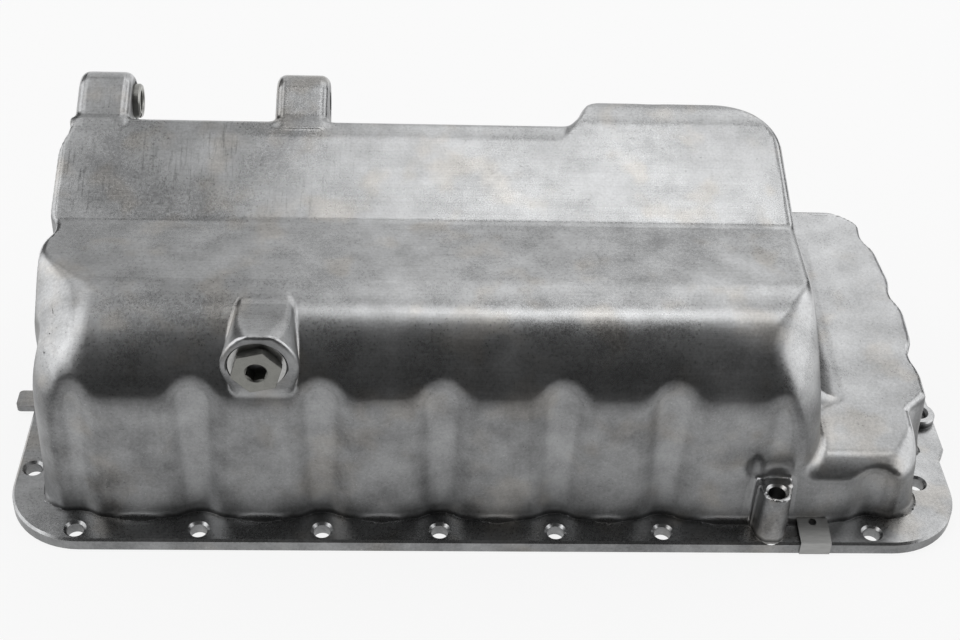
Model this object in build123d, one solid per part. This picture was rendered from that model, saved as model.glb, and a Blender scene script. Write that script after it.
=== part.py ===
from build123d import *
import math
import os

# Engine oil pan, lying on its gasket face: X along the engine, Y across it, Z from
# the gasket face to the sump floor.  Millimetres.  While it is built, x runs from the
# middle of the bolt pattern's datum and y from the front edge of the gasket flange.

# ---- gasket flange -------------------------------------------------------------
FLANGE_LEFT = -208.5        # left edge of the flange
FLANGE_RIGHT = 221.3        # right edge of the flange
FLANGE_DEPTH = 194.5        # front edge to back edge
FLANGE_THICK = 6.0
FLANGE_CORNER = 34.0
FLANGE_STEP = 3.9           # the right edge steps in by this much near the front
STEP_Y = 54.5
STEP_RUN = 7.0              # length of edge that the step takes
RIGHT_TAPER_Y = 115.0       # behind this the right end of the pan narrows
RIGHT_TAPER = 14.5          # by this much at the back edge
RIM = 14.5                  # flange edge to wall

# ---- bolts -----------------------------------------------------------------------
BOLT_HOLE = 7.6
BOLT_CHAMFER = 1.1
BOLT_INSET = 6.8            # bolt centre from the flange edge
LONG_SIDE_BOLTS = (-176.7, -123.3, -69.4, -17.8, 33.4, 80.9, 128.4, 174.8)
LEFT_BOLTS = (44.1, 97.25, 150.4)
STEP_BOLT = (202.4, 38.5)
RIGHT_BOLTS = (83.0, 122.5, 162.0)
TALL_BOSS_X = LONG_SIDE_BOLTS[-2]   # the front bolt that has the tall boss
TALL_BOSS_TOP = 31.5
TALL_BOSS_DIA = 13.6
TALL_BOSS_WEB = 7.0         # thickness of the web that ties the boss to the wall
PAD_DIA = 16.0              # raised pad round the first bolt of the right edge
PAD_TOP = 10.0

# ---- walls -----------------------------------------------------------------------
WALL = 4.5
DROP = 20.0                 # working solids start this far below the gasket face
WALL_TOP = 140.0            # and the drafted walls run up past the crown to here
DRAFT = 2.0
FLUTE_RADIUS = 11.6         # the wall clears each bolt by a flute of this radius
SKIN = 0.25                 # the crown stands this far outside the drafted walls
CORNER_RADIUS = 24.5
WALL_STEP = 9.8             # the right wall steps in further, to clear the inboard bolt

# ---- deep sump -------------------------------------------------------------------
FLOOR_Z = 102.0             # flat floor behind the front shoulder
SHOULDER_RADIUS = 40.0
CREASE_Y = 105.5            # where the floor starts to rise to the deepest part
SLOPE = 25.0
BACK_DRAFT = 5.0
RIDGE_Y = 150.0             # end of the slope on the main length
RIDGE_BACK_Y = 156.5
RAISED_Y = 158.6            # end of the slope on the raised length
RAISED_BACK_Y = 170.5
RAISED_X = 46.0             # the raised length starts here
DEEP_RIGHT = 143.0          # right end of the deep sump, at the floor
DEEP_END_DRAFT = 7.0
DEEP_EDGE = 12.0            # rounding of the slope's left end
DEEP_CORNER = 20.0          # rounding of the shoulder's ends
BACK_EDGE = 4.0
RAISED_CORNER = 30.0
STEP_CORNER = 8.0
RAISED_EDGE = 7.0

# ---- shallow end -----------------------------------------------------------------
SHALLOW_Z = 38.0
SHALLOW_SHOULDER = 18.0
SHALLOW_SLOPE = 9.0
SHALLOW_EDGE = 9.0

# ---- drain ------------------------------------------------------------------------
DRAIN_X = -94.2
DRAIN_Z = 93.5
DRAIN_SEAT_Y = 16.0
DRAIN_BOSS_FRONT = 13.2
DRAIN_BOSS_RADIUS = 17.0
DRAIN_TOP = 113.0           # the boss's sloping top, carried on to the flange edge
DRAIN_TOP_LEAN = 15.0
DRAIN_BOSS_DEPTH = 44.0     # how far the boss runs into the shoulder
DRAIN_RECESS = 26.4
PLUG_THREAD = 14.0
DRAIN_BORE = 10.0           # the thread's tail opens into the sump by this smaller bore
PLUG_HEX = 19.0
PLUG_HEAD = 4.6
PLUG_SOCKET = 8.0
PLUG_LENGTH = 14.0
WASHER_DIA = 24.0
WASHER_THICK = 1.5

# ---- compressor lugs ----------------------------------------------------------------
LUG_Y = 177.5
LUG_Z = 118.8
LUG_RADIUS = 13.4
LUG_WIDTH = 25.0
LUG_LEFT = (-188.0, -95.8)
LUG_BORE = 10.5
LUG_FRONT = 26.0            # run of the web in front of the eye, along the slope
LUG_FOOT = 36.0             # run of the web below the eye, towards the back wall
LUG_DIP = 40.0              # lean of that back edge from upright
LUG_CHAMFER = 2.5
BUSH_DIA = 16.2
BUSH_LENGTH = 28.3
BUSH_SLIT = 1.0

# ---- small features -----------------------------------------------------------------
TAB_Y = (86.0, 97.0)
TAB_REACH = 9.0
TAB_THICK = 3.5
CLIP_X = 148.2
CLIP_WIDTH = 13.6
CLIP_THICK = 1.0
CLIP_REACH = 13.0
CLIP_HOLE = 3.6
CLIP_TILT = 8.0


def plan_points(margin, step):
    """Plan of the pan, moved in from the flange edge by margin, corners still sharp."""
    right = FLANGE_RIGHT - margin
    back = FLANGE_DEPTH - margin
    left = FLANGE_LEFT + margin
    taper = math.atan(RIGHT_TAPER / (FLANGE_DEPTH - RIGHT_TAPER_Y))
    taper_y = RIGHT_TAPER_Y - margin * math.tan(taper / 2)
    back_x = right - (back - taper_y) * math.tan(taper)
    jog = STEP_Y - 0.2 * margin
    points = [
        (left, margin),
        (right - step, margin),
        (right - step, jog),
        (right, jog + STEP_RUN + 0.3 * margin),
        (right, taper_y),
        (back_x, back),
        (left, back),
    ]
    return points


def rounded_plan(margin, step, corner, jog_corner):
    """The same plan as a face, with its corners rounded."""
    points = plan_points(margin, step)
    face = make_face(Polyline(points + [points[0]]))
    for radius, indexes in ((corner, (0, 1, 5, 6)), (jog_corner, (2, 3)), (3 * corner, (4,))):
        corners = []
        for vertex in face.vertices():
            for index in indexes:
                if math.dist((vertex.X, vertex.Y), points[index]) < 0.01:
                    corners.append(vertex)
        face = fillet(corners, radius)
    return face


def side_bolts():
    """Every bolt centre, by the side that it stands on."""
    front = [(x, BOLT_INSET) for x in LONG_SIDE_BOLTS]
    back = [(x, FLANGE_DEPTH - BOLT_INSET) for x in LONG_SIDE_BOLTS]
    left = [(FLANGE_LEFT + BOLT_INSET + 0.3, y) for y in LEFT_BOLTS]
    taper = RIGHT_TAPER / (FLANGE_DEPTH - RIGHT_TAPER_Y)
    right = [STEP_BOLT]
    for y in RIGHT_BOLTS:
        right.append((FLANGE_RIGHT - 8.0 - max(0.0, y - RIGHT_TAPER_Y) * taper, y))
    return front, back, left, right


def flute(spot, inset, bottom, top):
    """One flute as a drafted cutter that clears the bolt at spot."""
    fall = math.tan(math.radians(DRAFT))
    low = FLUTE_RADIUS + inset + bottom * fall
    high = FLUTE_RADIUS + inset + top * fall
    return Pos(*spot, (bottom + top) / 2) * Cone(low, high, top - bottom)


def fluted_walls(inset):
    """The drafted walls, with a flute at each bolt."""
    plan = rounded_plan(RIM + inset, WALL_STEP, CORNER_RADIUS - inset, 8.0)
    walls = extrude(Pos(0, 0, -DROP) * plan, WALL_TOP + DROP, taper=DRAFT)
    front, back, left, right = side_bolts()
    for spot in front:
        bottom = TALL_BOSS_TOP if spot[0] == TALL_BOSS_X else -DROP
        walls -= flute(spot, inset, bottom, WALL_TOP)
    for spot in back + left + right:
        walls -= flute(spot, inset, -DROP, WALL_TOP)
    return walls


def across(outline, start, end):
    """A section drawn as (y, z), run along X from start to end."""
    return extrude(Plane.YZ.offset(start) * make_face(outline), end - start, dir=(1, 0, 0))


def deep_end_cut(inset):
    """What lies beyond the drafted right end of the deep sump."""
    fall = math.tan(math.radians(DEEP_END_DRAFT))
    foot = DEEP_RIGHT - inset + (FLOOR_Z + DROP) * fall
    high = 2 * FLOOR_Z
    beyond = Polyline(
        (foot, -DROP),
        (foot + FLANGE_RIGHT, -DROP),
        (foot + FLANGE_RIGHT, high),
        (foot - (high + DROP) * fall, high),
        (foot, -DROP),
    )
    return extrude(Plane.XZ * make_face(beyond), 2 * FLANGE_DEPTH, both=True)


def shoulder_block(inset):
    """The front of the deep sump: wall, round shoulder and flat floor."""
    wall_y = RIM - SKIN + (FLOOR_Z - SHOULDER_RADIUS) * math.tan(math.radians(DRAFT))
    centre = (wall_y + SHOULDER_RADIUS, FLOOR_Z - SHOULDER_RADIUS)
    radius = SHOULDER_RADIUS - inset
    front = centre[0] - radius
    half = math.sqrt(0.5) * radius
    floor = FLOOR_Z - inset
    back = CREASE_Y + 30
    outline = [
        Line((front, -DROP), (front, centre[1])),
        ThreePointArc((front, centre[1]), (centre[0] - half, centre[1] + half), (centre[0], floor)),
        Polyline((centre[0], floor), (back, floor), (back, -DROP), (front, -DROP)),
    ]
    left = FLANGE_LEFT + RIM - SKIN + inset
    block = across(outline, left, FLANGE_RIGHT) - deep_end_cut(inset)
    left_end = block.faces().sort_by(Axis.X)[0]
    right_end = block.faces().sort_by(Axis.X)[-1]
    ends = []
    for face in (left_end, right_end):
        for edge in face.edges():
            middle = edge @ 0.5
            if middle.Z > -DROP + 1 and middle.Y < back - 1:
                ends.append(edge)
    return fillet(ends, DEEP_CORNER - inset)


def slope_block(ridge_y, back_y, start, end, inset):
    """One length of the part that rises behind the floor, up to its ridge."""
    lean = math.tan(math.radians(SLOPE))
    slip = inset * math.tan(math.radians(SLOPE / 2))
    ridge_z = FLOOR_Z + (ridge_y - CREASE_Y) * lean - inset
    ridge_y = ridge_y + slip
    low_y = CREASE_Y - 25
    low_z = ridge_z - (ridge_y - low_y) * lean
    foot = back_y - inset + (ridge_z + DROP) * math.tan(math.radians(BACK_DRAFT))
    outline = Polyline(
        (low_y, -DROP),
        (low_y, low_z),
        (ridge_y, ridge_z),
        (back_y - inset, ridge_z),
        (foot, -DROP),
        (low_y, -DROP),
    )
    return across(outline, start, end), ridge_z


def main_block(inset):
    left = FLANGE_LEFT + RIM - SKIN + inset
    block, ridge_z = slope_block(RIDGE_Y, RIDGE_BACK_Y, left, DEEP_RIGHT - 20, inset)
    left_end = block.faces().sort_by(Axis.X)[0]
    ends = [e for e in left_end.edges() if (e @ 0.5).Z > 60 and (e @ 0.5).Y > CREASE_Y - 20]
    ends = [e for e in ends if (e @ 0.5).Y < RIDGE_BACK_Y - inset]
    block = fillet(ends, DEEP_EDGE - 2 * inset)
    if inset:
        return block
    back = block.faces().sort_by(lambda face: face.center().Y)[-1]
    top = [e for e in back.edges() if (e @ 0.5).Z > -DROP + 1 and (e @ 0.5).X < DEEP_RIGHT - 21]
    return fillet(top, BACK_EDGE)


def raised_block(inset):
    block, ridge_z = slope_block(RAISED_Y, RAISED_BACK_Y, RAISED_X + inset, FLANGE_RIGHT, inset)
    block -= deep_end_cut(inset)
    uprights = []
    for edge in block.edges():
        if (edge @ 0.5).Y > RAISED_BACK_Y - inset and abs((edge @ 0).Z - (edge @ 1).Z) > 20:
            uprights.append(edge)
    uprights.sort(key=lambda edge: (edge @ 0.5).X)
    block = fillet(uprights[-1], RAISED_CORNER - inset)
    first = []
    for edge in block.edges():
        if (edge @ 0.5).Y > RAISED_BACK_Y - inset and abs((edge @ 0).Z - (edge @ 1).Z) > 20:
            first.append(edge)
    first.sort(key=lambda edge: (edge @ 0.5).X)
    block = fillet(first[0], STEP_CORNER)
    if inset:
        return block
    top = []
    for edge in block.edges():
        middle = edge @ 0.5
        rises = abs((edge @ 0).Z - (edge @ 1).Z) > 0.01
        if middle.Z > FLOOR_Z - 15 and (rises or middle.Y > CREASE_Y):
            top.append(edge)
    return fillet(top, RAISED_EDGE)


def deep_crown(inset):
    """What bounds the walls of the deep sump from above."""
    return shoulder_block(inset) + main_block(inset) + raised_block(inset)


def shallow_crown(inset):
    """What bounds the walls of the shallow end from above."""
    fall = math.tan(math.radians(DRAFT))
    centre_z = SHALLOW_Z - SHALLOW_SHOULDER
    wall_y = RIM - SKIN + centre_z * fall
    centre = (wall_y + SHALLOW_SHOULDER, centre_z)
    radius = SHALLOW_SHOULDER - inset
    lean = math.radians(SHALLOW_SLOPE)
    meet = (centre[0] - radius * math.sin(lean), centre_z + radius * math.cos(lean))
    turn = math.radians(45 + SHALLOW_SLOPE / 2)
    mid = (centre[0] - radius * math.sin(turn), centre_z + radius * math.cos(turn))
    back_y = FLANGE_DEPTH - RIM - inset + SKIN
    back_z = meet[1] + (back_y - meet[0]) * math.tan(lean)
    outline = [
        Line((centre[0] - radius, -DROP), (centre[0] - radius, centre_z)),
        ThreePointArc((centre[0] - radius, centre_z), mid, meet),
        Polyline(meet, (back_y, back_z), (back_y, -DROP), (centre[0] - radius, -DROP)),
    ]
    block = across(outline, DEEP_RIGHT - 30, FLANGE_RIGHT - RIM + SKIN - inset)
    end = block.faces().sort_by(Axis.X)[-1]
    edges = [e for e in end.edges() if (e @ 0.5).Z > SHALLOW_Z - 15]
    edges = [e for e in edges if (e @ 0.5).Y < back_y - 1]
    return fillet(edges, SHALLOW_EDGE - inset)


def casting():
    """The pan itself: flange, shell, bosses and lugs, in one casting."""
    outer = fluted_walls(0) & (deep_crown(0) + shallow_crown(0))
    inner = fluted_walls(WALL) & (deep_crown(WALL) + shallow_crown(WALL))
    plate = extrude(rounded_plan(0, FLANGE_STEP, FLANGE_CORNER, 3.0), FLANGE_THICK)
    top = plate.faces().sort_by(Axis.Z)[-1]
    plate = chamfer(top.edges(), 1.0)
    below = Pos(0, FLANGE_DEPTH / 2, -DROP) * Box(3 * FLANGE_RIGHT, 2 * FLANGE_DEPTH, 2 * DROP)
    body = plate + (outer - below)
    body += drain_boss()
    for left in LUG_LEFT:
        body += lug(left)
    body += tall_boss() + edge_pad() + tab()
    body -= inner
    for hole in bolt_cutters():
        body -= hole
    body -= drain_cutters()
    body -= eye(LUG_LEFT[0], BUSH_DIA)
    body -= eye(LUG_LEFT[1], LUG_BORE)
    return body


def drain_boss():
    """The boss on the shoulder that the drain plug screws into, with its top sloped off."""
    middle_z = DRAIN_Z - 2.5
    low = middle_z - DRAIN_BOSS_RADIUS - 3
    lean_in = math.radians(10)
    side = DRAIN_BOSS_RADIUS * math.cos(lean_in)
    side_z = middle_z - DRAIN_BOSS_RADIUS * math.sin(lean_in)
    foot = side - (side_z - low) * math.tan(lean_in)
    left = (DRAIN_X - side, side_z)
    right = (DRAIN_X + side, side_z)
    outline = [
        ThreePointArc(left, (DRAIN_X, middle_z + DRAIN_BOSS_RADIUS), right),
        Polyline(right, (DRAIN_X + foot, low), (DRAIN_X - foot, low), left),
    ]
    face = Plane.XZ.offset(-DRAIN_BOSS_FRONT) * make_face(outline)
    boss = extrude(face, DRAIN_BOSS_DEPTH, dir=(0, 1, 0), taper=3)
    boss = chamfer(boss.faces().sort_by(Axis.Y)[0].edges(), 1.5)
    reach = 2 * SHOULDER_RADIUS
    fall = reach * math.tan(math.radians(DRAIN_TOP_LEAN))
    above = Polyline(
        (0, DRAIN_TOP),
        (reach, DRAIN_TOP - fall),
        (reach, DRAIN_TOP + reach),
        (0, DRAIN_TOP + reach),
        (0, DRAIN_TOP),
    )
    return boss - extrude(Plane.YZ * make_face(above), FLANGE_DEPTH, both=True)


def drain_cutters():
    recess = Plane.XZ.offset(-DRAIN_SEAT_Y) * Pos(DRAIN_X, DRAIN_Z) * Circle(DRAIN_RECESS / 2)
    thread = Plane.XZ.offset(-DRAIN_SEAT_Y + 1) * Pos(DRAIN_X, DRAIN_Z) * Circle(PLUG_THREAD / 2)
    tail = Plane.XZ.offset(-DRAIN_SEAT_Y) * Pos(DRAIN_X, DRAIN_Z) * Circle(DRAIN_BORE / 2)
    cut = extrude(recess, 30, dir=(0, -1, 0))
    cut += extrude(thread, PLUG_LENGTH + 4, dir=(0, 1, 0))
    return cut + extrude(tail, 30, dir=(0, 1, 0))


def lug(left):
    """One ear for the compressor bolt, rising in line with the slope."""
    lean = math.radians(SLOPE)
    top = (LUG_Y - LUG_RADIUS * math.sin(lean), LUG_Z + LUG_RADIUS * math.cos(lean))
    dip = math.radians(LUG_DIP)
    low = (LUG_Y + LUG_RADIUS * math.cos(dip), LUG_Z - LUG_RADIUS * math.sin(dip))
    start = (top[0] - LUG_FRONT * math.cos(lean), top[1] - LUG_FRONT * math.sin(lean))
    end = (low[0] - LUG_FOOT * math.sin(dip), low[1] - LUG_FOOT * math.cos(dip))
    web = make_face(Polyline(start, top, low, end, (start[0], end[1]), start))
    outline = web + Pos(LUG_Y, LUG_Z) * Circle(LUG_RADIUS)
    solid = extrude(Plane.YZ.offset(left) * outline, LUG_WIDTH, dir=(1, 0, 0))
    ends = []
    for edge in solid.edges():
        middle = edge @ 0.5
        if abs((edge @ 0).X - (edge @ 1).X) < 0.01 and middle.Y > start[0] + 1 and middle.Z > end[1] + 1:
            ends.append(edge)
    return chamfer(ends, LUG_CHAMFER)


def eye(left, diameter):
    spot = Plane.YZ.offset(left - 5) * Pos(LUG_Y, LUG_Z) * Circle(diameter / 2)
    return extrude(spot, LUG_WIDTH + 10, dir=(1, 0, 0))


def tall_boss():
    spot = (TALL_BOSS_X, BOLT_INSET)
    post = Pos(*spot, TALL_BOSS_TOP / 2) * Cylinder(TALL_BOSS_DIA / 2, TALL_BOSS_TOP)
    post = chamfer(post.edges().sort_by(Axis.Z)[-1], 0.8)
    web = Box(TALL_BOSS_WEB, RIM - 2.5, TALL_BOSS_TOP - 2)
    web = Pos(spot[0], spot[1] + (RIM - 2.5) / 2, TALL_BOSS_TOP / 2 - 1) * web
    return post + web


def edge_pad():
    spot = side_bolts()[3][1]
    pad = Pos(*spot, PAD_TOP / 2) * Cylinder(PAD_DIA / 2, PAD_TOP)
    return chamfer(pad.edges().sort_by(Axis.Z)[-1], 0.8)


def tab():
    """The cast ear on the left edge of the flange."""
    middle = (TAB_Y[0] + TAB_Y[1]) / 2
    reach = TAB_REACH + 4
    block = Pos(FLANGE_LEFT + 4 - reach / 2, middle, FLANGE_THICK - TAB_THICK / 2)
    block = block * Box(reach, TAB_Y[1] - TAB_Y[0], TAB_THICK)
    return fillet(block.edges().filter_by(Axis.Z).sort_by(Axis.X)[:2], 2.0)


def bolt_cutters():
    """The clearance holes with their chamfers, each as tall as the boss it goes through."""
    cutters = []
    for side, spots in enumerate(side_bolts()):
        for index, spot in enumerate(spots):
            top = FLANGE_THICK
            if side == 0 and spot[0] == TALL_BOSS_X:
                top = TALL_BOSS_TOP
            if side == 3 and index == 1:
                top = PAD_TOP
            bore = Pos(*spot, top / 2) * Cylinder(BOLT_HOLE / 2, top + 4)
            wide = BOLT_HOLE / 2 + BOLT_CHAMFER + 1
            cone = Pos(*spot, top + 1 - wide / 2) * Cone(0.01, wide, wide)
            cutters.append(bore + cone)
    return cutters


def plug():
    """Hexagon-socket drain plug: six-sided head, shank and socket, along Y."""
    seat = DRAIN_SEAT_Y - WASHER_THICK
    head = Plane.XZ.offset(-seat) * Pos(DRAIN_X, DRAIN_Z) * Rot(0, 0, 14) * RegularPolygon(
        PLUG_HEX / 2, 6, major_radius=False)
    solid = extrude(head, PLUG_HEAD, dir=(0, -1, 0))
    face = solid.faces().sort_by(Axis.Y)[0]
    solid = chamfer(face.edges(), 0.6)
    shank = Plane.XZ.offset(-seat + 0.5) * Pos(DRAIN_X, DRAIN_Z) * Circle(PLUG_THREAD / 2)
    solid += extrude(shank, PLUG_LENGTH + 0.5, dir=(0, 1, 0))
    socket = Plane.XZ.offset(PLUG_HEAD - seat) * Pos(DRAIN_X, DRAIN_Z) * Rot(0, 0, 14) * RegularPolygon(
        PLUG_SOCKET / 2, 6, major_radius=False)
    return solid - extrude(socket, 7, dir=(0, 1, 0))


def plug_washer():
    ring = Circle(WASHER_DIA / 2) - Circle(PLUG_THREAD / 2)
    place = Plane.XZ.offset(-DRAIN_SEAT_Y) * Pos(DRAIN_X, DRAIN_Z)
    return extrude(place * ring, WASHER_THICK, dir=(0, -1, 0))


def bush():
    """Split steel bush pressed through the left lug."""
    ring = Circle(BUSH_DIA / 2) - Circle(LUG_BORE / 2)
    slit = Rot(0, 0, 250) * Pos(BUSH_DIA / 2, 0) * Rectangle(BUSH_DIA, BUSH_SLIT)
    place = Plane.YZ.offset(LUG_LEFT[0]) * Pos(LUG_Y, LUG_Z)
    return extrude(place * (ring - slit), BUSH_LENGTH, dir=(1, 0, 0))


def clip():
    """Sheet-steel clip on the front edge of the flange: a fold and a drilled leaf."""
    tilt = math.radians(CLIP_TILT)
    rise = (CLIP_REACH * math.cos(tilt), CLIP_REACH * math.sin(tilt))
    bend = FLANGE_THICK + 0.4
    thick = (-CLIP_THICK * math.sin(tilt), CLIP_THICK * math.cos(tilt))
    outline = Polyline(
        (0, 0.4),
        (0, bend),
        rise_point((0, bend), rise),
        rise_point(rise_point((0, bend), rise), thick),
        (-CLIP_THICK, bend + CLIP_THICK * 0.85),
        (-CLIP_THICK, 0.4),
        (0, 0.4),
    )
    section = Plane.YZ.offset(CLIP_X - CLIP_WIDTH / 2) * make_face(outline)
    sheet = extrude(section, CLIP_WIDTH, dir=(1, 0, 0))
    hole = Pos(CLIP_X, CLIP_REACH - 2.5, bend + 2) * Cylinder(CLIP_HOLE / 2, 20)
    return sheet - hole


def rise_point(point, by):
    return (point[0] + by[0], point[1] + by[1])


NODES = {
    "pan_casting": casting,
    "drain_plug": plug,
    "drain_plug_washer": plug_washer,
    "compressor_bush": bush,
    "harness_clip": clip,
}


def main():
    shapes = {name: build() for name, build in NODES.items()}
    boxes = [shape.bounding_box() for shape in shapes.values()]
    x_mid = (min(box.min.X for box in boxes) + max(box.max.X for box in boxes)) / 2
    y_mid = (min(box.min.Y for box in boxes) + max(box.max.Y for box in boxes)) / 2
    home = Pos(-x_mid, -y_mid, 0)
    os.makedirs("parts", exist_ok=True)
    for name, shape in shapes.items():
        export_step(home * shape, f"parts/{name}.step")


if __name__ == "__main__":
    main()
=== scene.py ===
import bpy
import math
import numpy as np
from mathutils import Matrix, Vector


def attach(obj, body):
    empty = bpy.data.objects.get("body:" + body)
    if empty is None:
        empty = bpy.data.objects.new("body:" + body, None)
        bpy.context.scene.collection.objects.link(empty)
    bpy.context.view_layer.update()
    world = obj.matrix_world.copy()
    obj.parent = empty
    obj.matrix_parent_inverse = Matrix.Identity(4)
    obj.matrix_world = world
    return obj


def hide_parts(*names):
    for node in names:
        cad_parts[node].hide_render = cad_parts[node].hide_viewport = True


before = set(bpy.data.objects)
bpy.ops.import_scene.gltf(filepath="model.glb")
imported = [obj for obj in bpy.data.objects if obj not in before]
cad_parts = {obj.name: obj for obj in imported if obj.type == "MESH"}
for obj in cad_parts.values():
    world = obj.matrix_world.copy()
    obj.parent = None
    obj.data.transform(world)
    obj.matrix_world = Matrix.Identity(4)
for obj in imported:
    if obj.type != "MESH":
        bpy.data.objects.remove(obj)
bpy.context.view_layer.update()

scene = bpy.context.scene

# ---- View ------------------------------------------------------------------------------
# The pan seen from above its drain plug, a little from the left, through a long lens.
camera_data = bpy.data.cameras.new("camera")
camera = bpy.data.objects.new("camera", camera_data)
scene.collection.objects.link(camera)
scene.camera = camera
camera_data.sensor_width = 36.0
camera_data.lens = 60.472
camera_data.clip_start = 0.05
camera_data.clip_end = 20.0
pitch = math.radians(38.836)
yaw = math.radians(3.351)
roll = math.radians(2.769)
eye = Vector((-0.03536, -0.58421, 0.52381))
ahead = Vector((math.sin(yaw) * math.cos(pitch), math.cos(yaw) * math.cos(pitch), -math.sin(pitch)))
level = Vector((math.cos(yaw), -math.sin(yaw), 0))
upward = level.cross(ahead)
right = math.cos(roll) * level + math.sin(roll) * upward
up = math.cos(roll) * upward - math.sin(roll) * level
place = Matrix((right, up, -ahead)).transposed().to_4x4()
place.translation = eye
camera.matrix_world = place
scene.render.resolution_x = 960
scene.render.resolution_y = 640

# ---- Light -----------------------------------------------------------------------------
# A dark studio: a bright strip overhead, wide dimmer softboxes behind it and to its left, and
# more of them round the pan, with none straight in front.
ROOM_LEVEL = 0.05
LAMP_DISTANCE = 1.5     # of the boxes round the pan, in metres
AIM = Vector((0, 0, 0.08))

world = bpy.data.worlds.new("world")
scene.world = world
world.use_nodes = True
world.node_tree.nodes["Background"].inputs["Color"].default_value = (1, 1, 1, 1)
world.node_tree.nodes["Background"].inputs["Strength"].default_value = ROOM_LEVEL
scene.view_settings.view_transform = "Standard"


def softbox(name, place, width, depth, level):
    """A rectangular area lamp that faces down; level is its brightness, 1 being white."""
    data = bpy.data.lights.new(name, "AREA")
    data.shape = "RECTANGLE"
    data.size = width
    data.size_y = depth
    data.energy = level * math.pi * width * depth
    lamp = bpy.data.objects.new(name, data)
    lamp.location = place
    scene.collection.objects.link(lamp)
    return lamp


def round_the_pan(name, azimuth, height, width, depth, level):
    """A softbox turned to the pan: azimuth from the front, anticlockwise seen from above."""
    around = math.radians(azimuth)
    lift = math.radians(height)
    level_run = math.cos(lift)
    away = Vector((math.sin(around) * level_run, -math.cos(around) * level_run, math.sin(lift)))
    lamp = softbox(name, away * LAMP_DISTANCE + AIM, width, depth, level)
    lamp.rotation_euler = away.to_track_quat("Z", "Y").to_euler()


softbox("overhead", (0.25, 0.14, 1.5), 0.90, 0.24, 2.70)
softbox("overhead_back", (0.25, 1.00, 1.5), 0.90, 1.10, 1.00)
softbox("overhead_left", (-0.80, 0.40, 1.5), 0.70, 1.70, 0.85)
round_the_pan("right_box", 88, 22, 1.50, 1.20, 1.20)
round_the_pan("right_high_box", 80, 52, 0.90, 0.50, 0.60)
round_the_pan("back_right_box", 130, 40, 1.00, 0.70, 0.65)
round_the_pan("back_box", 170, 22, 2.00, 1.20, 0.60)
round_the_pan("left_box", 266, 22, 1.60, 1.20, 1.15)
round_the_pan("left_high_box", 285, 52, 0.90, 0.50, 0.70)
round_the_pan("front_left_box", 298, 34, 0.60, 0.84, 0.80)

# ---- Floor -----------------------------------------------------------------------------
# A sheet of matt white paper under the pan.  It ends in front of the pan, so that the front
# wall mirrors the dark room, and keeps a faint shadow.  Sizes in metres.
FLOOR_HALF_WIDTH = 4
FLOOR_FRONT = -0.45
FLOOR_BACK = 6
PAPER = (0.92, 0.92, 0.92, 1)
GLOW_SHARE = 0.88       # how much of the floor's look is plain white, the rest being lit paper

floor_corners = [
    (-FLOOR_HALF_WIDTH, FLOOR_FRONT, 0),
    (FLOOR_HALF_WIDTH, FLOOR_FRONT, 0),
    (FLOOR_HALF_WIDTH, FLOOR_BACK, 0),
    (-FLOOR_HALF_WIDTH, FLOOR_BACK, 0),
]
floor_mesh = bpy.data.meshes.new("floor")
floor_mesh.from_pydata(floor_corners, [], [(0, 1, 2, 3)])
floor = bpy.data.objects.new("floor", floor_mesh)
scene.collection.objects.link(floor)


class Wire:
    """A socket of a material's nodes, so that sums of sockets read as ordinary sums."""

    def __init__(self, socket):
        self.socket = socket
        self.tree = socket.id_data

    def node(self, kind, values=None, output=0, **settings):
        """A node in the same material: its type, its inputs' values and its settings."""
        made = self.tree.nodes.new(kind)
        for name, value in settings.items():
            setattr(made, name, value)
        for name, value in (values or {}).items():
            if isinstance(value, Wire):
                self.tree.links.new(value.socket, made.inputs[name])
            else:
                made.inputs[name].default_value = value
        return Wire(made.outputs[output])

    def maths(self, operation, *values):
        return self.node("ShaderNodeMath", dict(enumerate(values)), operation=operation)

    def __add__(self, other):
        return self.maths("ADD", self, other)

    def __sub__(self, other):
        return self.maths("SUBTRACT", self, other)

    def __rsub__(self, other):
        return self.maths("SUBTRACT", other, self)

    def __mul__(self, other):
        return self.maths("MULTIPLY", self, other)

    __radd__ = __add__
    __rmul__ = __mul__

    def between(self, low, high):
        """0 below low and 1 above high, with a smooth run; low may be the greater."""
        values = {"Value": self, "From Min": low, "From Max": high}
        return self.node("ShaderNodeMapRange", values, interpolation_type="SMOOTHSTEP")

    def blend(self, a, b):
        """The colour a where this is 0 and b where it is 1."""
        return self.node("ShaderNodeMix", {0: self, 6: a, 7: b}, output=2, data_type="RGBA")

    def tint(self, colour):
        """This grey times a colour."""
        return self.node("ShaderNodeVectorMath", {0: colour, 3: self}, operation="SCALE")

    def noise(self, scale, detail=3.0, roughness=0.55):
        """A cloudy pattern from 0 to 1, scale being its waves in a millimetre."""
        values = {"Vector": self, "Scale": scale, "Detail": detail, "Roughness": roughness}
        return self.node("ShaderNodeTexNoise", values)

    def stretched(self, x, y, z, turn=0.0):
        """This place turned about Z and scaled along each axis."""
        values = {"Vector": self, "Rotation": (0, 0, math.radians(turn)), "Scale": (x, y, z)}
        return self.node("ShaderNodeMapping", values)

    def axis(self, number):
        """One part of this vector: 0, 1 or 2 for X, Y or Z."""
        return self.node("ShaderNodeSeparateXYZ", {"Vector": self}, output=number)

    def into(self, socket):
        self.tree.links.new(self.socket, socket)


def new_material(name):
    """A material: itself, its shader node and the place on the piece in millimetres."""
    made = bpy.data.materials.new(name)
    made.use_nodes = True
    shader = made.node_tree.nodes["Principled BSDF"]
    place = Wire(made.node_tree.nodes.new("ShaderNodeTexCoord").outputs["Object"])
    place = place.node("ShaderNodeVectorMath", {0: place, 3: 1000.0}, operation="SCALE")
    return made, shader, place


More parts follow.
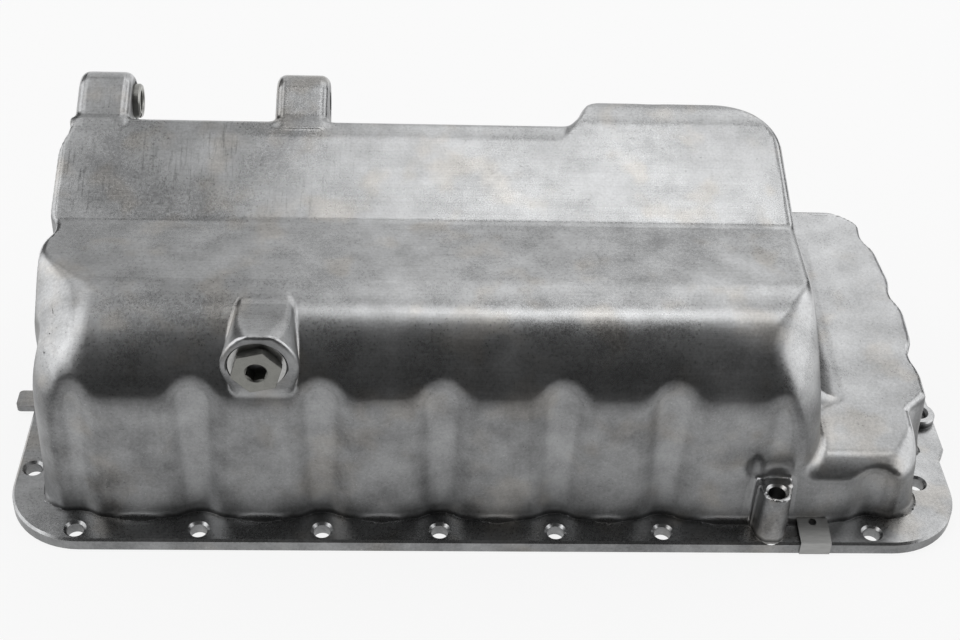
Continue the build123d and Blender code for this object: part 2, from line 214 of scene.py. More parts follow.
floor_paint, floor_shader, floor_place = new_material("white_floor")
floor_shader.inputs["Base Color"].default_value = PAPER
floor_shader.inputs["Roughness"].default_value = 0.9
glow = floor_place.node("ShaderNodeEmission", {"Color": (1, 1, 1, 1), "Strength": 1.0})
looks = ("Is Camera Ray", "Is Glossy Ray", "Is Transmission Ray")
straight, mirrored, through = [floor_place.node("ShaderNodeLightPath", output=name) for name in looks]
seen = straight + mirrored + through
values = {0: seen * GLOW_SHARE, 1: Wire(floor_shader.outputs[0]), 2: glow}
surface = floor_place.node("ShaderNodeMixShader", values)
surface.into(floor_place.tree.nodes["Material Output"].inputs["Surface"])
floor_mesh.materials.append(floor_paint)


# ---- Casting: the outer skin -----------------------------------------------------------
# One sand casting in aluminium, its walls, shoulders and bosses blended into one another.  The
# skin is where a field of distances in millimetres is zero, metal being below zero.  Heights
# are above the gasket face, and x and y are counted from the casting's own datum.
DATUM = (1.9, 96.75)


def slant(degrees):
    """How far a face runs sideways for each millimetre along it."""
    return math.tan(math.radians(degrees))


def square_to(distance, degrees):
    """A distance along an axis to a face that leans by degrees, made square to the face."""
    return distance * math.cos(math.radians(degrees))


def round_and(a, b, r):
    """Where both hold, the edge rounded to radius r."""
    return np.minimum(-r, np.maximum(a, b)) + np.hypot(np.maximum(a + r, 0), np.maximum(b + r, 0))


def round_or(a, b, r):
    """Where either holds, the valley filled to radius r."""
    return np.maximum(r, np.minimum(a, b)) - np.hypot(np.maximum(r - a, 0), np.maximum(r - b, 0))


def soft_and(a, b, k):
    """Where both hold, the edge eased over a width k."""
    h = np.maximum(k - np.abs(a - b), 0) / k
    return np.maximum(a, b) + h * h * k * 0.25


def soft_or(a, b, k):
    """Where either holds, the valley eased over a width k."""
    return -soft_and(-a, -b, k)


def ease(low, high, value):
    """0 at low and 1 at high, with a smooth run; low may be the greater."""
    t = np.clip((value - low) / (high - low), 0, 1)
    return t * t * (3 - 2 * t)


# walls: where they leave the flange, and their draft
FLANGE_TOP = 6
WALL_FRONT = 14.5
WALL_LEFT = -195
WALL_RIGHT = 206.8
WALL_BACK = 180
WALL_DRAFT = 2
LEFT_DRAFT = 0.8
UPRIGHT_FROM, UPRIGHT_AT = 50, 74   # the front wall turns upright between these heights
TAPER_FROM = 115                    # behind this the right end narrows
TAPER = 0.182                       # by this much for each millimetre
JOG = 9.8                           # the right wall steps in near the front
JOG_RUN = (50, 61)
LEFT_CORNER, RIGHT_CORNER = 24.5, 19.0


def outer_walls(x, y, z):
    """Distances to the front, left, right and back walls."""
    rise = z - FLANGE_TOP
    turn = UPRIGHT_AT - UPRIGHT_FROM
    lean = rise - np.clip(z - UPRIGHT_FROM, 0, turn) ** 2 / (2 * turn) - np.maximum(z - UPRIGHT_AT, 0)
    front = WALL_FRONT + lean * slant(WALL_DRAFT) - y
    left = rise * slant(LEFT_DRAFT) + WALL_LEFT - x
    narrowing = JOG * (1 - ease(*JOG_RUN, y)) + np.maximum(y - TAPER_FROM, 0) * TAPER
    right = x - (WALL_RIGHT - narrowing - rise * slant(WALL_DRAFT))
    back = y - (WALL_BACK - rise * slant(WALL_DRAFT))
    return front, left, right, back


# flutes: upright hollows that clear the bolts' heads; the tall boss stands in a hollow that
# starts above it, and the first bolt of the right end in a low bay of the wall
LONG_SIDE_X = (-176.7, -123.3, -69.4, -17.8, 33.4, 80.9)
LONG_SIDE_BOLTS = [(x, 6.8) for x in LONG_SIDE_X + (174.8,)]
LONG_SIDE_BOLTS += [(x, 187.7) for x in LONG_SIDE_X + (128.4,)]
END_BOLTS = [(-201.4, 44.1), (-201.4, 97.3), (-201.4, 150.4)]
END_BOLTS += [(213.3, 83.0), (211.9, 122.5), (204.7, 162.0)]
FLUTE_RADIUS = 11.6
FLUTE_DRAFT = 3
END_FLUTE_DRAFT = 0.5
TALL_HOLLOW = (129.4, 7.0)
TALL_HOLLOW_RADIUS = 11.0
TALL_HOLLOW_FLOOR = 32
LOW_BAY = (202.4, 38.5)
LOW_BAY_RADIUS = 10.3
LOW_BAY_TOP = 24
FAR = 1e3


def flutes_of(x, y, z):
    """The flutes, above zero inside them, and the way to the nearest bolt."""
    rise = z - FLANGE_TOP
    reach = np.full(np.broadcast(x, y).shape, FAR)
    for bolt_x, bolt_y in LONG_SIDE_BOLTS:
        reach = np.minimum(reach, np.hypot(x - bolt_x, y - bolt_y))
    flutes = FLUTE_RADIUS + rise * slant(FLUTE_DRAFT) - reach
    for bolt_x, bolt_y in END_BOLTS:
        end_reach = np.hypot(x - bolt_x, y - bolt_y)
        flutes = np.maximum(flutes, FLUTE_RADIUS + rise * slant(END_FLUTE_DRAFT) - end_reach)
        reach = np.minimum(reach, end_reach)
    hollow = np.hypot(x - TALL_HOLLOW[0], y - TALL_HOLLOW[1]) - TALL_HOLLOW_RADIUS - rise * slant(1)
    bay = np.hypot(x - LOW_BAY[0], y - LOW_BAY[1]) - LOW_BAY_RADIUS
    hollow = -round_and(hollow, TALL_HOLLOW_FLOOR - z, 6)
    bay = -round_and(bay, z - LOW_BAY_TOP, 5)
    return np.maximum(flutes, np.maximum(hollow, bay)), reach


# deep sump: flat floor, slope, ridge and its raised length, with a broad front shoulder
FLOOR_Z = 102
CREASE_Y = 105.5
SLOPE = 25
RIDGE_Z = 123.3
RAISED_BY = 4.2
STEP = (46.5, 163)                  # a point on the slanting end of the raised length
STEP_TURN = 20
BACK_DRAFT = 5
MAIN_BACK = (156.6, 122.75)         # y and height of the back edge of the main length
RAISED_BACK = (171, 126.8)
DEEP_END = 143
DEEP_END_DRAFT = 7
CROWN_SKIN = 0.5                    # the crown stands this far outside the end walls
SHOULDER_RADIUS = 50


def deep_crown(x, y, z, front, left):
    """The form of the deep sump over its walls."""
    turn = math.radians(STEP_TURN)
    step = (STEP[0] - x) * math.cos(turn) + (y - STEP[1]) * math.sin(turn)
    ridge = RIDGE_Z + RAISED_BY * ease(-3, 3, -step)
    slope = square_to(z - FLOOR_Z - (y - CREASE_Y) * slant(SLOPE), SLOPE)
    top = soft_and(soft_or(z - FLOOR_Z, slope, 0.8), z - ridge, 3)
    main_back = y - (MAIN_BACK[0] + (MAIN_BACK[1] - z) * slant(BACK_DRAFT))
    raised_back = y - (RAISED_BACK[0] + (RAISED_BACK[1] - z) * slant(BACK_DRAFT))
    main_back = square_to(main_back, BACK_DRAFT)
    raised_back = square_to(raised_back, BACK_DRAFT)
    behind = round_or(main_back, round_and(raised_back, step, 7), 5)
    end = square_to(x - (DEEP_END + (FLOOR_Z - z) * slant(DEEP_END_DRAFT)), DEEP_END_DRAFT)
    left_edge = 4.5 + 24 * ease(-66, -34, front)
    right_edge = 3.5 + 20 * ease(-52, -14, front)
    deep = round_and(top, front - 2.8, SHOULDER_RADIUS)
    deep = round_and(deep, left - CROWN_SKIN, left_edge)
    return round_and(deep, round_and(behind, end, 30), right_edge)


# shallow end: a low roof that rises towards the back
SHALLOW = (32, 38)                  # y and height of a point on the roof
SHALLOW_SLOPE = 9
SHALLOW_FROM = 113                  # its form starts here, inside the deep sump's end


def shallow_crown(x, y, z, front, right, back):
    """The form of the shallow end over its walls, its edge rounder near the front."""
    crest = square_to(z - SHALLOW[1] - (y - SHALLOW[0]) * slant(SHALLOW_SLOPE), SHALLOW_SLOPE)
    shallow = round_and(crest, front - 3.0, 16)
    ends = round_and(back - CROWN_SKIN, right - CROWN_SKIN, 16)
    edge = 5 - 2 * ease(135, 165, y) + 12 * ease(-26, -4, front)
    return np.maximum(round_and(shallow, ends, edge), SHALLOW_FROM - x)


# drain boss: an arch in front view, its top sloping back down to the floor
BOSS_X = -93.2
BOSS_FACE = 13.2
BOSS_TAPER_FROM = 13.3
BOSS_TOP = 109.9
BOSS_HALF_WIDTH = 16.9
BOSS_FLAT = 6.3                     # half the width of the arch's flat top
ARCH_LEAN = 43
BOSS_FALL = 15.2


def drain_boss(x, y, z):
    """The boss, narrowing towards its foot and away from its face."""
    aside = np.abs(x - BOSS_X)
    lean = math.radians(ARCH_LEAN)
    narrowing = 0.0075 * np.maximum(97 - z, 0) ** 2 + (y - BOSS_TAPER_FROM) * 0.16
    side = aside - (BOSS_HALF_WIDTH - narrowing)
    arch = (aside - BOSS_FLAT) * math.sin(lean) + (z - BOSS_TOP) * math.cos(lean)
    roof = square_to(z - BOSS_TOP + (y - BOSS_TAPER_FROM) * slant(BOSS_FALL), BOSS_FALL)
    boss = round_and(round_and(side, arch, 6), roof, 2)
    boss = round_and(boss, BOSS_FACE + 6.0 * ease(96, 70, z) - y, 2)
    return np.maximum(round_and(boss, 71 - z, 6), y - 62)


# compressor lugs: two eyes on webs in line with the slope
LUG_Y = 177.5
LUG_Z = 118.8
LUG_MIDDLES = (-175.5, -83.3)
LUG_RADIUS = 13.4
LUG_HALF_WIDTH = 12.5
LUG_ROUND = 4.5
LUG_DIP = 50                        # how far the web's underside turns from level
LUG_FROM = 152


def lug_section(y, z):
    """Section of both lugs: the eye's round nose between the web's top and underside."""
    q = y - LUG_Y
    r = z - LUG_Z
    slope = math.radians(SLOPE)
    dip = math.radians(LUG_DIP)
    top = r * math.cos(slope) - q * math.sin(slope) - LUG_RADIUS
    under = q * math.sin(dip) - r * math.cos(dip) - LUG_RADIUS
    past_top = q * math.cos(slope) + r * math.sin(slope) > 0
    past_under = q * math.cos(dip) + r * math.sin(dip) > 0
    section = np.where(past_top & past_under, np.hypot(q, r) - LUG_RADIUS, np.maximum(top, under))
    return np.maximum(section, LUG_FROM - y)


# tall bolt boss: a post in front of the wall, with a web back to it
POST = (128.4, 6.9)
POST_TOP = 31.6
POST_RADIUS = 6.3
WEB_HALF_WIDTH = 7.6
DIMPLE = (119.6, 12.5, 37.5)
DIMPLE_RADIUS = 4.6


def tall_boss(x, y, z):
    """The post and its web, kept behind the flange's edge."""
    post = np.hypot(x - POST[0], y - POST[1]) - (POST_RADIUS + (POST_TOP - z) * 0.03)
    web = np.maximum(np.abs(x - POST[0]) - WEB_HALF_WIDTH, 11 - y)
    post = round_and(soft_or(post, np.maximum(web, y - 19), 5), z - POST_TOP, 0.8)
    return np.maximum(post, 0.3 - y)


# foot: a fillet where the walls meet the flange, over a slight spread of the wall
FOOT_RADIUS = 5
FOOT_TOP = 10
SPREAD = 2.0
SPREAD_TOP = 26
SPREAD_HEIGHT = 20


def foot_of(z, reach):
    """How far the foot stands out of the wall; little of it is left beside the bolts."""
    fillet = FOOT_RADIUS - np.sqrt(FOOT_RADIUS ** 2 - np.clip(FOOT_TOP - z, 0, 4) ** 2)
    spread = SPREAD * np.clip((SPREAD_TOP - z) / SPREAD_HEIGHT, 0, 1) ** 2
    return (fillet + spread) * (1 - 0.75 * ease(26, 13, reach))


SKIN_LOWEST = 4.6                   # the skin ends at this height, inside the flange


def casting(x, y, z):
    """Distance to the pan's outer skin, without its bores; the blends are in millimetres."""
    front, left, right, back = outer_walls(x, y, z)
    corner = np.where(x < 0, LEFT_CORNER, RIGHT_CORNER)
    walls = round_and(np.maximum(front, back), np.maximum(left, right), corner)
    flutes, reach = flutes_of(x, y, z)
    walls = soft_and(walls, flutes, 3.5)

    # the valley where the deep end wall stands on the shallow end is wider in its middle
    valley = 4 + 12.5 * ease(49, 56, y) * (1 - ease(150, 172, y))
    deep = deep_crown(x, y, z, front, left)
    crown = round_or(deep, shallow_crown(x, y, z, front, right, back), valley)
    body = soft_and(walls, crown, 2.0) - foot_of(z, reach)

    body = soft_or(body, drain_boss(x, y, z), 2.5)
    lug = lug_section(y, z)
    for middle in LUG_MIDDLES:
        body = soft_or(body, round_and(lug, np.abs(x - middle) - LUG_HALF_WIDTH, LUG_ROUND), 4)
    body = soft_or(body, tall_boss(x, y, z), 1.5)
    dx, dy, dz = x - DIMPLE[0], y - DIMPLE[1], z - DIMPLE[2]
    dimple = np.sqrt(dx ** 2 + dy ** 2 + dz ** 2 * 0.5) - DIMPLE_RADIUS
    return np.maximum(soft_and(body, -dimple, 2), SKIN_LOWEST - z)


def steps(*runs):
    """Grid lines: each run is (start, end, spacing)."""
    lines = [np.arange(a, b - h * 0.3, h) for a, b, h in runs]
    return np.concatenate(lines + [[runs[-1][1]]])


def skin_of(field, xs, ys, zs):
    """Surface nets: one vertex in each cell that the skin crosses, and their quads."""
    value = field(xs[:, None, None], ys[None, :, None], zs[None, None, :])
    inside = value < 0
    n = [len(xs) - 1, len(ys) - 1, len(zs) - 1]
    total = np.zeros(n, np.int8)
    for i in (0, 1):
        for j in (0, 1):
            for k in (0, 1):
                total += inside[i:n[0] + i, j:n[1] + j, k:n[2] + k]
    cells = np.argwhere((total > 0) & (total < 8))
    number = np.full(n, -1, np.int64)
    number[tuple(cells.T)] = np.arange(len(cells))

    # each vertex is the mean of the places where the skin crosses its cell's edges
    points = np.zeros((len(cells), 3))
    weight = np.zeros(len(cells))
    lines = (xs, ys, zs)
    for axis in range(3):
        others = [a for a in range(3) if a != axis]
        for da in (0, 1):
            for db in (0, 1):
                low = cells.copy()
                low[:, others[0]] += da
                low[:, others[1]] += db
                high = low.copy()
                high[:, axis] += 1
                a = value[tuple(low.T)]
                b = value[tuple(high.T)]
                cross = (a < 0) != (b < 0)
                t = np.where(cross, a / np.where(cross, a - b, 1), 0)
                spot = np.stack([lines[m][low[:, m]] for m in range(3)], 1)
                spot[:, axis] += t * (lines[axis][high[:, axis]] - lines[axis][low[:, axis]])
                points += spot * cross[:, None]
                weight += cross
    points /= weight[:, None]

    # each grid edge that the skin crosses gives a quad between the four cells round it
    quads = []
    for axis in range(3):
        a = inside.take(range(n[axis]), axis)
        b = inside.take(range(1, n[axis] + 1), axis)
        crossing = np.argwhere(a != b)
        others = [(axis + 1) % 3, (axis + 2) % 3]
        within = np.ones(len(crossing), bool)
        for m in others:
            within &= (crossing[:, m] > 0) & (crossing[:, m] < n[m])
        crossing = crossing[within]
        outward = a[tuple(crossing.T)]
        ring = []
        for da, db in ((0, 0), (-1, 0), (-1, -1), (0, -1)):
            cell = crossing.copy()
            cell[:, others[0]] += da
            cell[:, others[1]] += db
            ring.append(number[tuple(cell.T)])
        quad = np.stack(ring, 1)
        quad[~outward] = quad[~outward][:, ::-1]
        quads.append(quad)
    return points, np.concatenate(quads)


def slope_of(field, points, h=0.05):
    """The field and its gradient at each point, from points h to either side."""
    p = points.T
    grad = np.stack([
        field(p[0] + h, p[1], p[2]) - field(p[0] - h, p[1], p[2]),
        field(p[0], p[1] + h, p[2]) - field(p[0], p[1] - h, p[2]),
        field(p[0], p[1], p[2] + h) - field(p[0], p[1], p[2] - h),
    ], 1) / (2 * h)
    return field(*p), grad


def bend_of(field, points, reach=2.5):
    """How the skin bends: above zero on edges, below zero in hollows."""
    total = -6 * field(*points.T)
    for axis in range(3):
        for way in (-reach, reach):
            beside = points.T.copy()
            beside[axis] += way
            total += field(*beside)
    return np.clip(total / reach, -1, 1)


# the grid is finest round the drain boss; three moves then bring each vertex onto the skin
xs = steps((-204, -118, 1.7), (-118, -70, 0.9), (-70, 215, 1.7))
ys = steps((-2, 50, 1.2), (50, 150, 2.0), (150, 194, 1.4))
zs = steps((3, 120, 1.6), (120, 134, 1.2))
points, quads = skin_of(casting, xs, ys, zs)
for turn in range(3):
    base, grad = slope_of(casting, points)
    steepness = np.maximum((grad ** 2).sum(1), 0.25)
    points = points - grad * (np.clip(base, -1, 1) / steepness)[:, None]


def to_row(p):
    """From the casting's datum in millimetres to the row's frame in metres."""
    return (np.asarray(p, float) - (DATUM[0], DATUM[1], 0)) / 1000


def to_datum(p):
    """From the row's frame in metres to the casting's datum in millimetres."""
    return p * 1000 + (DATUM[0], DATUM[1], 0)


def mesh_object(name, points, faces):
    mesh = bpy.data.meshes.new(name)
    mesh.from_pydata(points, [], faces)
    thing = bpy.data.objects.new(name, mesh)
    scene.collection.objects.link(thing)
    return thing


def turned(name, axis, centre, profile, sides=96):
    """A solid turned round an axis: profile is (distance along it, radius), in millimetres."""
    points, faces = [], []
    for along, radius in profile:
        for i in range(sides):
            a = 2 * math.pi * i / sides
            spot = [radius * math.cos(a), radius * math.sin(a)]
            spot.insert(axis, along)
            points.append([spot[m] + centre[m] for m in range(3)])
    for ring in range(len(profile) - 1):
        near, far = ring * sides, (ring + 1) * sides
        for i in range(sides):
            j = (i + 1) % sides
            faces.append([near + i, near + j, far + j, far + i])
    faces.append(list(range(sides))[::-1])
    faces.append([(len(profile) - 1) * sides + i for i in range(sides)])
    if axis == 1:
        faces = [face[::-1] for face in faces]
    return mesh_object(name, to_row(points).tolist(), faces)


def without(thing, cutters):
    """The mesh of a solid with the cutters taken out of it."""
    for cutter in cutters:
        cut = thing.modifiers.new(cutter.name, "BOOLEAN")
        cut.operation = "DIFFERENCE"
        cut.solver = "MANIFOLD"
        cut.object = cutter
    finished = thing.evaluated_get(bpy.context.evaluated_depsgraph_get())
    return bpy.data.meshes.new_from_object(finished)


def smooth(mesh, degrees):
    """Smooth shading, with edges sharper than an angle kept sharp."""
    mesh.polygons.foreach_set("use_smooth", np.ones(len(mesh.polygons), bool))
    mesh.set_sharp_from_angle(angle=math.radians(degrees))


# bores: the recess for the washer, the lugs' eyes with a chamfer at each end, and the bolt
# hole through the tall boss
PLUG_X, PLUG_Z = -94.2, 93.5
EYE_FACE = 11.9                     # from the lug's middle to the chamfer's mouth
EYE_CHAMFER = 0.8


def eye_cutter(name, middle, bore, mouth):
    """Cutter for a lug's eye, from the radius of its bore and of its chamfered mouth."""
    half = [(-16, mouth), (-EYE_FACE, mouth), (EYE_CHAMFER - EYE_FACE, bore)]
    return turned(name, 0, (middle, LUG_Y, LUG_Z), half + [(-along, r) for along, r in half[::-1]])


recess = [(2, 13.0), (13.8, 13.0), (14.3, 12.4), (16, 12.4)]
bolt_hole = [(2, 3.8), (30.3, 3.8), (31.4, 4.9), (35, 4.9)]
solid = mesh_object("pan_skin", to_row(points).tolist(), quads.tolist())
cutters = [
    turned("cut_recess", 1, (PLUG_X, 0, PLUG_Z), recess),
    eye_cutter("cut_eye_left", LUG_MIDDLES[0], 8.1, 9.2),
    eye_cutter("cut_eye_right", LUG_MIDDLES[1], 5.25, 6.2),
    turned("cut_tall_boss", 2, (*POST, 0), bolt_hole),
]
skin_mesh = without(solid, cutters)
smooth(skin_mesh, 35)
for thing in cutters + [solid]:
    bpy.data.objects.remove(thing)


# ---- Casting: one shell ----------------------------------------------------------------
# The skin carries the outside.  The machined flange with its holes, the ring pad and the
# inside of the shell come from the solid as they are, and both are joined in one piece.
def arrays_of(mesh):
    """Points, corners, corner normals, each face's first corner and count, face normals."""
    spots = np.zeros(len(mesh.vertices) * 3)
    mesh.vertices.foreach_get("co", spots)
    corners = np.zeros(len(mesh.loops), int)
    mesh.loops.foreach_get("vertex_index", corners)
    normals = np.zeros(len(mesh.loops) * 3, np.float32)
    mesh.corner_normals.foreach_get("vector", normals)
    starts = np.zeros(len(mesh.polygons), int)
    counts = np.zeros(len(mesh.polygons), int)
    mesh.polygons.foreach_get("loop_start", starts)
    mesh.polygons.foreach_get("loop_total", counts)
    flat = np.zeros(len(mesh.polygons) * 3)
    mesh.polygons.foreach_get("normal", flat)
    return spots.reshape(-1, 3), corners, normals.reshape(-1, 3), starts, counts, flat.reshape(-1, 3)


# corners that lie on the skin take the field's own normal, and the skin's flat base is left out
SKIN_BASE = 4.9
ON_SKIN = 0.15
spots, corners, normals, starts, counts, flat = arrays_of(skin_mesh)
local = to_datum(spots)
base, grad = slope_of(casting, local)
true = grad / np.maximum(np.linalg.norm(grad, axis=1), 1e-6)[:, None]
face_of = np.repeat(np.arange(len(starts)), counts)
near = (np.abs(base)[corners] < ON_SKIN) & ((true[corners] * flat[face_of]).sum(1) > 0.6)
normals[near] = true[corners][near]
highest = np.maximum.reduceat(local[corners, 2], starts)
keep = ~((highest < SKIN_BASE) & (flat[:, 2] < -0.9))
halves = [(spots, corners, normals, starts, counts, keep)]
bends = [bend_of(casting, local)]

# of the solid's faces, those of the flange, of the ring pad and well inside the skin are kept
RING_PAD = (213.3, 83.0)
FLANGE_LIMIT = 6.05
RING_PAD_LIMIT = 10.1
TALL_BOLT = (128.4, 6.8)
WELL_INSIDE = -2.0
casting_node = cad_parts["pan_casting"]
spots, corners, normals, starts, counts, flat = arrays_of(casting_node.data)
local = to_datum(spots)
middle = np.add.reduceat(local[corners], starts) / counts[:, None]
middle_x, middle_y, middle_z = middle.T
highest = np.maximum.reduceat(local[corners, 2], starts)
depth, grad = slope_of(casting, middle)
depth = np.where((grad * flat).sum(1) < 0.2, depth, 0)
flange = highest < FLANGE_LIMIT
ring_pad = np.hypot(middle_x - RING_PAD[0], middle_y - RING_PAD[1]) < 9
ring_pad &= highest < RING_PAD_LIMIT
drain = (np.abs(middle_x - PLUG_X) < 18) & (middle_y < 19) & (middle_z > 60)
post = np.hypot(middle_x - TALL_BOLT[0], middle_y - TALL_BOLT[1]) < 8
lugs = (middle_y > 160) & (middle_z > 100)
keep = flange | ring_pad | ((depth < WELL_INSIDE) & ~drain & ~post & ~lugs)
halves.append((spots, corners, normals, starts, counts, keep))
bends.append(np.zeros(len(spots)))

all_points, all_faces, all_normals = [], [], []
offset = 0
for spots, corners, normals, starts, counts, keep in halves:
    for start, count in zip(starts[keep], counts[keep]):
        ring = corners[start:start + count]
        all_faces.append([offset + int(c) for c in ring])
        all_normals.append(normals[start:start + count])
    all_points.append(spots)
    offset += len(spots)
casting_piece = mesh_object("pan_casting_skin", np.concatenate(all_points).tolist(), all_faces)
casting_mesh = casting_piece.data
casting_mesh.polygons.foreach_set("use_smooth", np.ones(len(all_faces), bool))
casting_mesh.normals_split_custom_set(np.concatenate(all_normals).tolist())
bend_data = casting_mesh.attributes.new("bend", "FLOAT", "POINT")
bend_data.data.foreach_set("value", np.concatenate(bends).astype(np.float32))

# ---- Casting: the metal ----------------------------------------------------------------
# Aluminium as cast, blasted and then worn: clouded grey with short streaks down the slope,
# rubbed edges, and walls rougher than the crown.  The walls' grey is painted darker than the
# crown's as painted shade; there is painted highlight in the wall flutes, painted shade on
# the edges beside them, and painted shade in the foot fillet over the flange.
# the walls' grey holds painted shade: it is set darker than the crown's so that the walls mirror the
# white floor dimly
SHADED_WALL_GREY = 0.25
CROWN_GREY = 0.25                   # the crown's grey over that of the walls
COOL = (0.99, 1.0, 1.01)
WARM = (1.02, 0.995, 0.96)


def rough_surface(shader, height, depth_mm):
    """Bump on a shader, its height running from 0 to 1 over depth_mm."""
    values = {"Height": height, "Distance": depth_mm / 1000, "Strength": 1.0}
    height.node("ShaderNodeBump", values).into(shader.inputs["Normal"])


cast_metal, shader, place = new_material("cast_metal")
x_here = place.axis(0)
y_here = place.axis(1)
z_here = place.axis(2)
facing = place.node("ShaderNodeNewGeometry", output="Normal")
crown = facing.axis(2).between(0.2, 0.55)
wall = 1 - crown
bend = place.node("ShaderNodeAttribute", output="Fac", attribute_name="bend")

cloud = place.noise(0.017, 4) - 0.5
patch = place.noise(0.07, 4) - 0.5
grain = place.noise(0.8, 4, 0.7) - 0.5
brushed = place.stretched(0.012, 1.6, 1.6).noise(1.0, 3) - 0.5
tone = 1 + cloud * 0.8 + patch * (1.2 - crown * 0.4) + grain * 0.9
tone = tone + brushed * 0.3 * crown * x_here.between(140, 110)
tone = tone + bend * 0.15 * crown

streaks = place.stretched(0.9, 0.07, 0.07, turn=-14).noise(1.0, 3).between(0.53, 0.66)
blotch = place.noise(0.035, 3).between(0.42, 0.6)
slope_left = x_here.between(-35, -120) * y_here.between(8, 16)
tone = tone - streaks * blotch * slope_left * 0.3

specks = place.noise(1.7, 1).between(0.70, 0.76) * wall
pits = place.noise(0.9, 1).between(0.29, 0.24)
tone = tone + specks * 0.5 - pits * 0.3

# painted highlight down the hollows of the wall flutes and painted shade on the edges beside them,
# between the foot and the shoulder
hollow = bend.between(-0.05, -0.2) - bend.between(0.12, 0.5) * 0.8
upright = z_here.between(7, 14) * z_here.between(96, 84) * wall
tone = tone + hollow * upright * 0.30
# painted shade in the foot fillet: the metal just above the flange is darkened
foot_shade = z_here.between(9.0, 7) * z_here.between(6.1, 6.5)

grey = (SHADED_WALL_GREY + crown * CROWN_GREY) * tone * (1 - foot_shade * 0.7)
warm = place.noise(0.045, 2).between(0.5, 0.68)
warm.blend(grey.tint(COOL), grey.tint(WARM)).into(shader.inputs["Base Color"])
shader.inputs["Metallic"].default_value = 1.0
(0.42 - crown * 0.13 + cloud * 0.25 + grain * 0.15).into(shader.inputs["Roughness"])
lumps = place.noise(0.12, 2) * 0.55 + place.noise(0.9, 2) * (0.16 - crown * 0.08)
rough_surface(shader, lumps, 0.1)

casting_mesh.materials.append(cast_metal)
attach(casting_piece, "root")
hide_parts("pan_casting")

# ---- Drain plug ------------------------------------------------------------------------
# Zinc-plated steel: a 19 mm hexagon 4.6 mm high, its corners turned off on the washer's side,
# with an 8 mm hexagon socket countersunk in its face, on a 14 mm thread.
HEX_TURN = 14
HEX_ACROSS = 19.0
SOCKET_ACROSS = 8.0
FACE_Y = 9.9
SEAT_Y = 14.5
SOCKET_FLOOR_Y = 17.0
THREAD_END_Y = 28.5
THREAD_RADIUS = 7.0
COUNTERSINK = 4.9
NEEDLE = 0.02                       # radius of the ring that closes a flat end


def hexagon(across, angle):
    """Distance from the middle to the side of a hexagon, at each angle."""
    from_flat = (angle - math.radians(HEX_TURN)) % math.radians(60) - math.radians(30)
    return across / 2 / np.cos(from_flat)


angle = np.radians(np.arange(0, 360, 2.5) + HEX_TURN)
outer = hexagon(HEX_ACROSS, angle)
socket = hexagon(SOCKET_ACROSS, angle)
rings = [
    (SOCKET_FLOOR_Y, NEEDLE),
    (SOCKET_FLOOR_Y, socket),
    (FACE_Y + COUNTERSINK - socket, socket),
    (FACE_Y, COUNTERSINK),
    (FACE_Y, outer - 0.25),
    (FACE_Y + 0.2, outer),
    (SEAT_Y - 0.1 - (outer - HEX_ACROSS / 2) * 1.2, outer),
    (SEAT_Y - 0.1, HEX_ACROSS / 2),
    (SEAT_Y, HEX_ACROSS / 2 - 0.2),
    (SEAT_Y, THREAD_RADIUS),
    (THREAD_END_Y, THREAD_RADIUS),
    (THREAD_END_Y, NEEDLE),
]
count = len(angle)
points = []
for along, radius in rings:
    across_x = PLUG_X + radius * np.cos(angle)
    across_z = PLUG_Z + radius * np.sin(angle)
    points.append(np.stack([across_x, np.broadcast_to(along, count), across_z], 1))
faces = []
for near in range(0, (len(rings) - 1) * count, count):
    far = near + count
    for i in range(count):
        j = (i + 1) % count
        faces.append((near + i, far + i, far + j, near + j))
faces.append(tuple(range(count)))
faces.append(tuple(range((len(rings) - 1) * count, len(rings) * count))[::-1])
plug_piece = mesh_object("drain_plug_steel", to_row(np.concatenate(points)).tolist(), faces)
smooth(plug_piece.data, 18)

zinc_steel, shader, place = new_material("zinc_steel")
dull = place.noise(0.35, 4)
scuffs = place.noise(1.6, 3).between(0.58, 0.7)
(0.17 + dull * 0.16 - scuffs * 0.07).tint((1.0, 1.0, 0.93)).into(shader.inputs["Base Color"])
shader.inputs["Metallic"].default_value = 1.0
(0.30 + dull * 0.25).into(shader.inputs["Roughness"])
rough_surface(shader, place.noise(1.3, 3), 0.06)
plug_piece.data.materials.append(zinc_steel)
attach(plug_piece, "root")
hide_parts("drain_plug")

# ---- Drain plug washer -----------------------------------------------------------------
# A bright crushed ring, 24 mm across and 1.5 mm thick, lying in the recess behind the plug.
washer_metal, shader, place = new_material("washer_metal")
rings_cut = place.noise(0.8, 3)
(0.34 + rings_cut * 0.16).tint((1.0, 1.0, 0.98)).into(shader.inputs["Base Color"])
shader.inputs["Metallic"].default_value = 1.0
shader.inputs["Roughness"].default_value = 0.3
rough_surface(shader, rings_cut, 0.03)
washer_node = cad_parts["drain_plug_washer"]
washer_node.data.materials.clear()
washer_node.data.materials.append(washer_metal)

# ---- Compressor bush -------------------------------------------------------------------
# Rolled steel, 16.2 mm across with a 10.5 mm bore, pressed through the left lug.  Its joint
# runs along the bush and turns aside at the end.
BUSH_RADIUS = 8.05
BUSH_BORE = 5.25
BORE_MOUTH = 6.2
JOINT_PATH = ((-189.0, 250.0), (-162.6, 250.0), (-159.0, 205.0))    # x, and degrees round it
JOINT_HALF_WIDTH = 3.2              # in degrees
JOINT_RADII = (4.0, 9.5)            # the joint's cutter reaches from the bore to outside

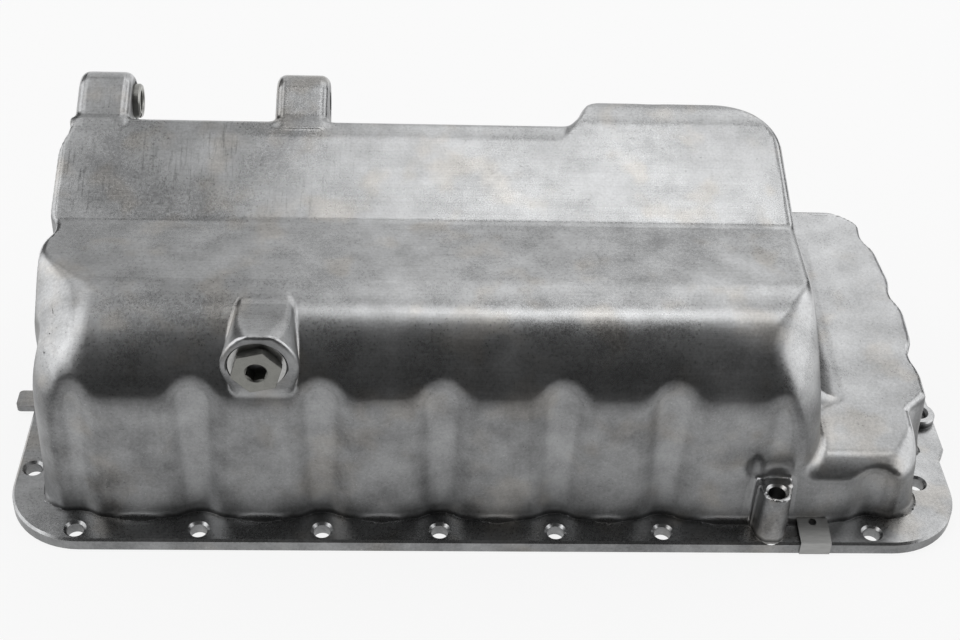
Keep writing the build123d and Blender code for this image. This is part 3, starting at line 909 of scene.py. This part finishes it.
lug_eye = (0, LUG_Y, LUG_Z)
bush_piece = turned("compressor_bush_steel", 0, lug_eye, [
    (-187.9, 7.3), (-187.2, BUSH_RADIUS), (-160.6, BUSH_RADIUS), (-159.8, 7.4),
])
bore = turned("cut_bore", 0, lug_eye, [
    (-189, 7.0), (-188, BORE_MOUTH), (-187.1, BUSH_BORE),
    (-160.6, BUSH_BORE), (-159.7, BORE_MOUTH), (-158, 7.4),
])
joint_points, joint_faces = [], []
for along, degrees in JOINT_PATH:
    for side in (-JOINT_HALF_WIDTH, JOINT_HALF_WIDTH):
        a = math.radians(degrees + side)
        for radius in JOINT_RADII:
            joint_points.append((along, LUG_Y + radius * math.cos(a), LUG_Z + radius * math.sin(a)))
for k in (0, 4):
    for a, b in ((0, 1), (1, 3), (3, 2), (2, 0)):
        joint_faces.append((k + a, k + b, k + b + 4, k + a + 4))
joint_faces += [(2, 3, 1, 0), (8, 9, 11, 10)]
joint = mesh_object("cut_joint", to_row(joint_points).tolist(), joint_faces)
bush_mesh = without(bush_piece, [bore, joint])
bush_piece.modifiers.clear()
bush_piece.data = bush_mesh
smooth(bush_mesh, 30)
bpy.data.objects.remove(bore)
bpy.data.objects.remove(joint)

bush_steel, shader, place = new_material("bush_steel")
drawn = place.stretched(0.08, 1.2, 1.2).noise(1.0, 3)
(0.34 + drawn * 0.22).tint((1.0, 1.0, 0.95)).into(shader.inputs["Base Color"])
shader.inputs["Metallic"].default_value = 1.0
(0.28 + drawn * 0.16).into(shader.inputs["Roughness"])
rough_surface(shader, drawn, 0.02)
bush_mesh.materials.clear()
bush_mesh.materials.append(bush_steel)
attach(bush_piece, "root")
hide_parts("compressor_bush")

# ---- Harness clip ----------------------------------------------------------------------
# A leaf of 1 mm sheet steel, 13.6 mm wide, folded over the flange's front edge and drilled.
clip_steel, shader, place = new_material("clip_steel")
rolled = place.stretched(0.15, 1.0, 1.0).noise(1.0, 3)
(0.24 + rolled * 0.16).tint((1.0, 1.0, 0.98)).into(shader.inputs["Base Color"])
shader.inputs["Metallic"].default_value = 1.0
(0.25 + rolled * 0.18).into(shader.inputs["Roughness"])
rough_surface(shader, rolled, 0.02)
clip_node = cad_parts["harness_clip"]
clip_node.data.materials.clear()
clip_node.data.materials.append(clip_steel)
